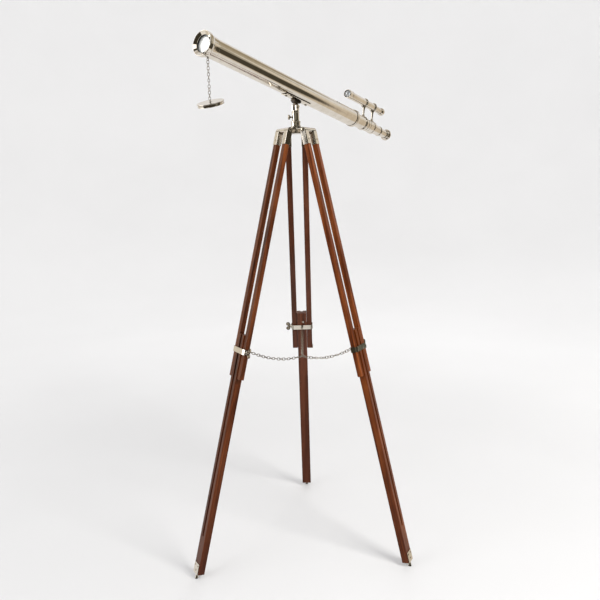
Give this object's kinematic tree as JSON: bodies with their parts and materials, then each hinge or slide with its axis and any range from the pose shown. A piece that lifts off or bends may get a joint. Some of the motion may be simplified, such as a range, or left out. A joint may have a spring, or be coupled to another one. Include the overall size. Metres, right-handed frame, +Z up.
{
  "type": "floor telescope on a wooden tripod",
  "caption": "Plated metal refracting telescope with a small finder on top and a dust cap on a chain, on a folding wooden tripod with chain spreader.",
  "frame": {"origin": "on the floor, under the middle of the bounding box", "axes": "+Z up, -Y towards the viewer of the reference view, +X to that viewer's right"},
  "size_m": [0.7362, 0.7864, 1.6486],
  "materials": {
    "plated": "polished nickel plate",
    "dark": "dark bronze, satin",
    "wood": "mahogany stain, satin lacquer",
    "glass": "polished optical glass"
  },
  "bodies": {
    "stand": {"tripod_hub": "plated", "socket_post": "plated", "leg_back_hinge_bolt": "plated", "leg_left_hinge_bolt": "plated", "leg_right_hinge_bolt": "plated"},
    "pan_screw": {"pan_thumb_screw": "plated"},
    "head": {"yoke": "plated"},
    "tilt_knob": {"tilt_bolt": "plated"},
    "telescope": {"tilt_block": "dark", "saddle_plate": "plated", "main_tube": "plated", "objective_cell": "plated", "objective_doublet": "glass", "tail_collar": "plated", "tail_sleeve": "plated", "rear_sleeve": "plated", "finder_cell": "plated", "finder_objective": "glass", "finder_body": "plated", "finder_post_front": "plated", "finder_post_rear": "plated", "cap_eyelet": "plated"},
    "focus_draw": {"focus_tube": "plated"},
    "eyepiece": {"eyepiece_tube": "plated", "eye_cup": "plated", "eye_lens": "glass", "field_lens": "glass"},
    "finder_eyepiece": {"finder_draw": "plated", "finder_eye_ring": "plated", "finder_eye_lens": "glass"},
    "hanging_chain": {"cap_chain": "plated"},
    "cap": {"dust_cap": "plated"},
    "spreader_ring": {"chain_ring": "plated"},
    "leg_back": {"leg_back_rod_a": "wood", "leg_back_rod_b": "wood", "leg_back_ferrule_a": "plated", "leg_back_ferrule_b": "plated", "leg_back_clamp_band": "plated"},
    "leg_back_lower": {"leg_back_lower_leg": "wood", "leg_back_shoe": "plated"},
    "leg_back_wing": {"leg_back_wing_screw": "plated"},
    "leg_back_chain": {"leg_back_chain_strand": "plated"},
    "leg_left": {"leg_left_rod_a": "wood", "leg_left_rod_b": "wood", "leg_left_ferrule_a": "plated", "leg_left_ferrule_b": "plated", "leg_left_clamp_band": "plated"},
    "leg_left_lower": {"leg_left_lower_leg": "wood", "leg_left_shoe": "plated"},
    "leg_left_wing": {"leg_left_wing_screw": "plated"},
    "leg_left_chain": {"leg_left_chain_strand": "plated"},
    "leg_right": {"leg_right_rod_a": "wood", "leg_right_rod_b": "wood", "leg_right_ferrule_a": "plated", "leg_right_ferrule_b": "plated", "leg_right_clamp_band": "plated"},
    "leg_right_lower": {"leg_right_lower_leg": "wood", "leg_right_shoe": "plated"},
    "leg_right_wing": {"leg_right_wing_screw": "plated"},
    "leg_right_chain": {"leg_right_chain_strand": "plated"}
  },
  "joints": [
    {"name": "pan", "type": "hinge", "parent": "stand", "child": "head", "pos_m": [0.00473, -0.06283, 1.44], "axis": [0, 0, 1], "continuous": true},
    {"name": "pan_lock", "type": "hinge", "parent": "stand", "child": "pan_screw", "pos_m": [-0.01004, -0.06543, 1.449], "axis": [-0.9848, -0.1736, 0], "range_deg": [0, 720]},
    {"name": "tilt", "type": "hinge", "parent": "head", "child": "telescope", "pos_m": [0.00473, -0.06283, 1.481], "axis": [-0.7869, 0.617, 0], "range_deg": [-30, 45]},
    {"name": "tilt_lock", "type": "hinge", "parent": "head", "child": "tilt_knob", "pos_m": [0.00473, -0.06283, 1.481], "axis": [0.7869, -0.617, 0], "range_deg": [0, 720]},
    {"name": "focus", "type": "slide", "parent": "telescope", "child": "focus_draw", "axis": [0.6039, 0.7702, -0.2052], "range_m": [-0.04, 0.045]},
    {"name": "eyepiece_slide", "type": "slide", "parent": "focus_draw", "child": "eyepiece", "axis": [0.6039, 0.7702, -0.2052], "range_m": [-0.038, 0.035]},
    {"name": "finder_focus", "type": "slide", "parent": "telescope", "child": "finder_eyepiece", "axis": [0.6039, 0.7702, -0.2052], "range_m": [-0.03, 0.02]},
    {"name": "cap_chain_swing", "type": "hinge", "parent": "telescope", "child": "hanging_chain", "pos_m": [-0.22554, -0.3565, 1.57088], "axis": [0.7869, -0.617, 0], "range_deg": [-25, 25]},
    {"name": "cap_swing", "type": "hinge", "parent": "hanging_chain", "child": "cap", "pos_m": [-0.22554, -0.3565, 1.47338], "axis": [0.7869, -0.617, 0], "range_deg": [-30, 30]},
    {"name": "leg_back_fold", "type": "hinge", "parent": "stand", "child": "leg_back", "pos_m": [0.00519, -0.01853, 1.407], "axis": [-0.9999, 0.0105, 0], "range_deg": [0, 12]},
    {"name": "leg_back_extend", "type": "slide", "parent": "leg_back", "child": "leg_back_lower", "axis": [-0.0026, -0.2464, 0.9692], "range_m": [-0.03, 0.55]},
    {"name": "leg_back_wing_turn", "type": "hinge", "parent": "leg_back", "child": "leg_back_wing", "pos_m": [-0.03798, 0.15564, 0.72374], "axis": [-0.9999, 0.0105, 0], "range_deg": [0, 720]},
    {"name": "leg_back_chain_fold", "type": "hinge", "parent": "leg_back", "child": "leg_back_chain", "pos_m": [0.00677, 0.1315, 0.71947], "axis": [0.9999, -0.0105, 0], "range_deg": [0, 81.53]},
    {"name": "leg_left_fold", "type": "hinge", "parent": "stand", "child": "leg_left", "pos_m": [-0.03288, -0.08624, 1.407], "axis": [0.5284, -0.849, 0], "range_deg": [0, 12.63]},
    {"name": "leg_left_extend", "type": "slide", "parent": "leg_left", "child": "leg_left_lower", "axis": [0.219, 0.1363, 0.9661], "range_m": [-0.03, 0.55]},
    {"name": "leg_left_wing_turn", "type": "hinge", "parent": "leg_left", "child": "leg_left_wing", "pos_m": [-0.16351, -0.22055, 0.72586], "axis": [0.5284, -0.849, 0], "range_deg": [0, 720]},
    {"name": "leg_left_chain_fold", "type": "hinge", "parent": "leg_left", "child": "leg_left_chain", "pos_m": [-0.16724, -0.16987, 0.7214], "axis": [-0.5284, 0.849, 0], "range_deg": [0, 82.25]},
    {"name": "leg_right_fold", "type": "hinge", "parent": "stand", "child": "leg_right", "pos_m": [0.04329, -0.08464, 1.407], "axis": [0.4924, 0.8704, 0], "range_deg": [0, 11.31]},
    {"name": "leg_right_extend", "type": "slide", "parent": "leg_right", "child": "leg_right_lower", "axis": [-0.2014, 0.114, 0.9729], "range_m": [-0.03, 0.55]},
    {"name": "leg_right_wing_turn", "type": "hinge", "parent": "leg_right", "child": "leg_right_wing", "pos_m": [0.20745, -0.12582, 0.72114], "axis": [0.4924, 0.8704, 0], "range_deg": [0, 720]},
    {"name": "leg_right_chain_fold", "type": "hinge", "parent": "leg_right", "child": "leg_right_chain", "pos_m": [0.16464, -0.1533, 0.71713], "axis": [-0.4924, -0.8704, 0], "range_deg": [0, 80.53]},
    {"name": "ring_drop", "type": "slide", "parent": "stand", "child": "spreader_ring", "axis": [0, 0, -1], "range_m": [0, 0.151]}
  ],
  "couplings": [
    {"joint": "leg_back_chain_fold", "follows": "leg_back_fold", "ratio": 6.7857},
    {"joint": "leg_left_fold", "follows": "leg_back_fold", "ratio": 1.0481},
    {"joint": "leg_left_chain_fold", "follows": "leg_back_fold", "ratio": 6.8462},
    {"joint": "leg_right_fold", "follows": "leg_back_fold", "ratio": 0.93809},
    {"joint": "leg_right_chain_fold", "follows": "leg_back_fold", "ratio": 6.7021},
    {"joint": "ring_drop", "follows": "leg_back_fold", "m_per_rad": 0.7162}
  ]
}
